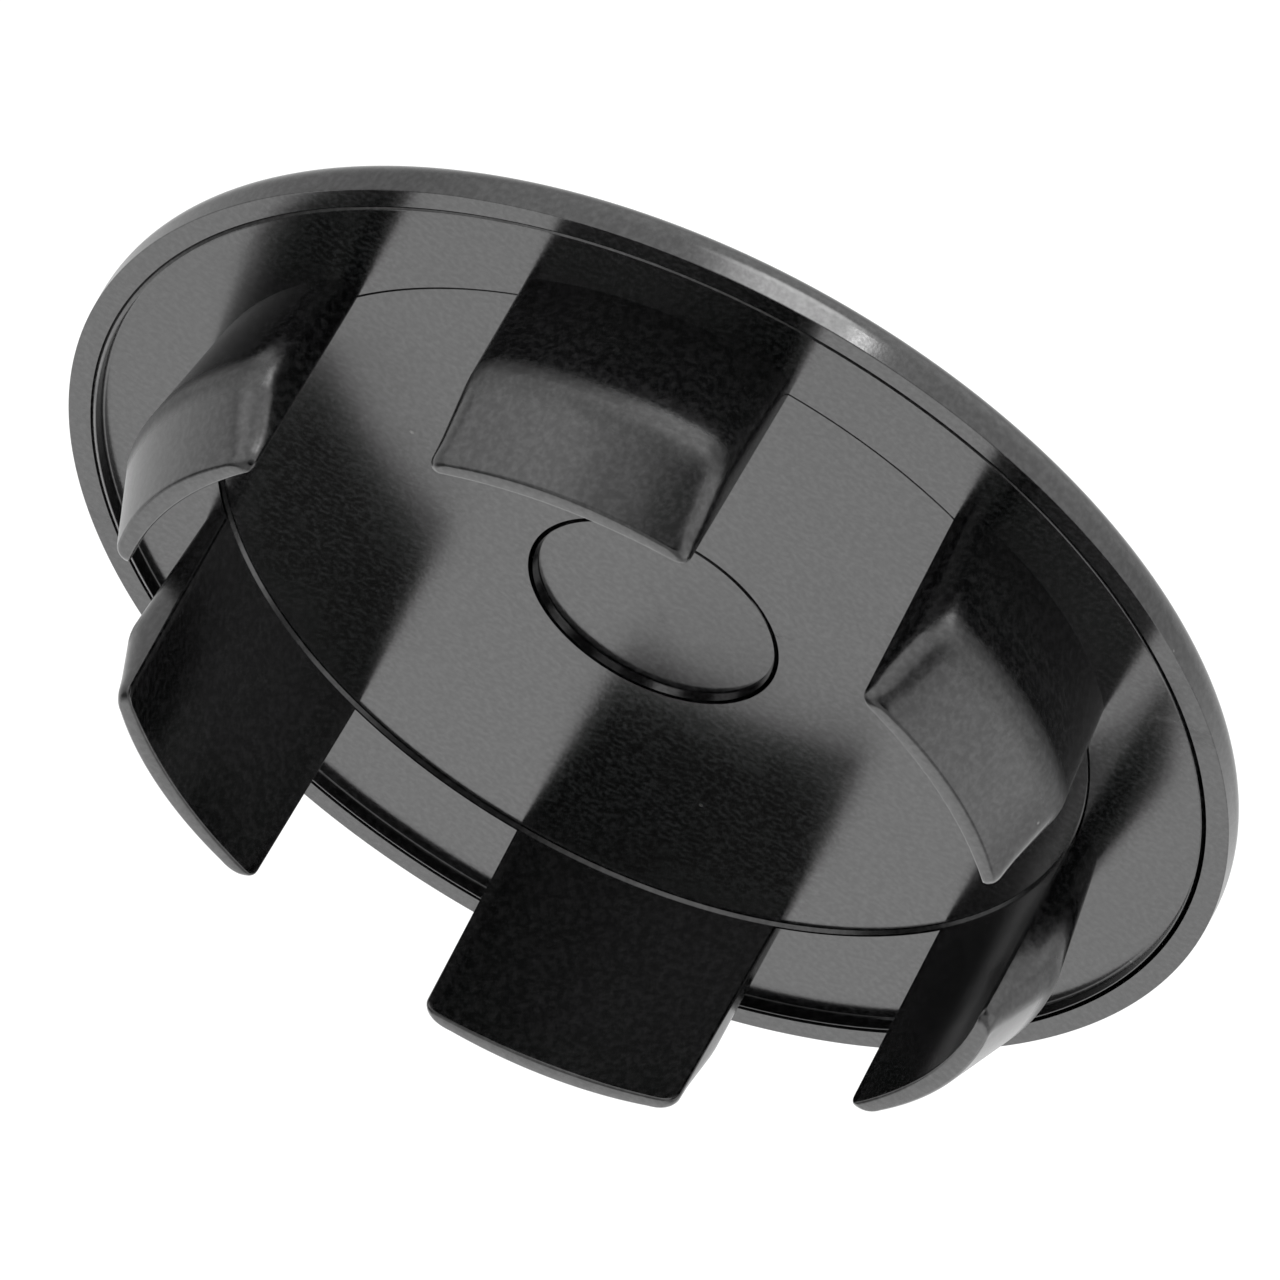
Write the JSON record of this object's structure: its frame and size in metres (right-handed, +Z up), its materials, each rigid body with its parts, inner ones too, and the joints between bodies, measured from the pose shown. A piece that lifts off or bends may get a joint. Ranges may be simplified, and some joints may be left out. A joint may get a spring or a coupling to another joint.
{
  "type": "desk hole plug",
  "caption": "Round snap-in plug that closes a cable hole in a desk panel, with a flat flanged head over a ring of springy wedge-nosed legs.",
  "frame": {"origin": "centre of the head's seat plane, which rests on the panel around the hole", "axes": "+Z up out of the show face, along the plug's axis; the legs hang towards -Z, and leg 1 points along +X"},
  "size_m": [0.06, 0.06, 0.0128],
  "materials": {
    "nylon": "satin to semi-gloss moulded black nylon with a fine even grain"
  },
  "bodies": {
    "head": {"head_disc": "nylon", "seat_rim": "nylon", "leg_1_root": "nylon", "leg_2_root": "nylon", "leg_3_root": "nylon", "leg_4_root": "nylon", "leg_5_root": "nylon", "leg_6_root": "nylon"},
    "leg_1": {"leg_1_stem": "nylon", "leg_1_nose": "nylon"},
    "leg_2": {"leg_2_stem": "nylon", "leg_2_nose": "nylon"},
    "leg_3": {"leg_3_stem": "nylon", "leg_3_nose": "nylon"},
    "leg_4": {"leg_4_stem": "nylon", "leg_4_nose": "nylon"},
    "leg_5": {"leg_5_stem": "nylon", "leg_5_nose": "nylon"},
    "leg_6": {"leg_6_stem": "nylon", "leg_6_nose": "nylon"}
  },
  "joints": [
    {"name": "leg_1_flex", "type": "hinge", "parent": "head", "child": "leg_1", "pos_m": [0.0234, 0, 0.00005], "axis": [0, 1, 0], "range_deg": [0, 10], "stiffness_Nm_per_rad": 2.4},
    {"name": "leg_2_flex", "type": "hinge", "parent": "head", "child": "leg_2", "pos_m": [0.0117, 0.02026, 0.00005], "axis": [-0.866, 0.5, 0], "range_deg": [0, 10], "stiffness_Nm_per_rad": 2.4},
    {"name": "leg_3_flex", "type": "hinge", "parent": "head", "child": "leg_3", "pos_m": [-0.0117, 0.02026, 0.00005], "axis": [-0.866, -0.5, 0], "range_deg": [0, 10], "stiffness_Nm_per_rad": 2.4},
    {"name": "leg_4_flex", "type": "hinge", "parent": "head", "child": "leg_4", "pos_m": [-0.0234, 0, 0.00005], "axis": [0, -1, 0], "range_deg": [0, 10], "stiffness_Nm_per_rad": 2.4},
    {"name": "leg_5_flex", "type": "hinge", "parent": "head", "child": "leg_5", "pos_m": [-0.0117, -0.02026, 0.00005], "axis": [0.866, -0.5, 0], "range_deg": [0, 10], "stiffness_Nm_per_rad": 2.4},
    {"name": "leg_6_flex", "type": "hinge", "parent": "head", "child": "leg_6", "pos_m": [0.0117, -0.02026, 0.00005], "axis": [0.866, 0.5, 0], "range_deg": [0, 10], "stiffness_Nm_per_rad": 2.4}
  ]
}
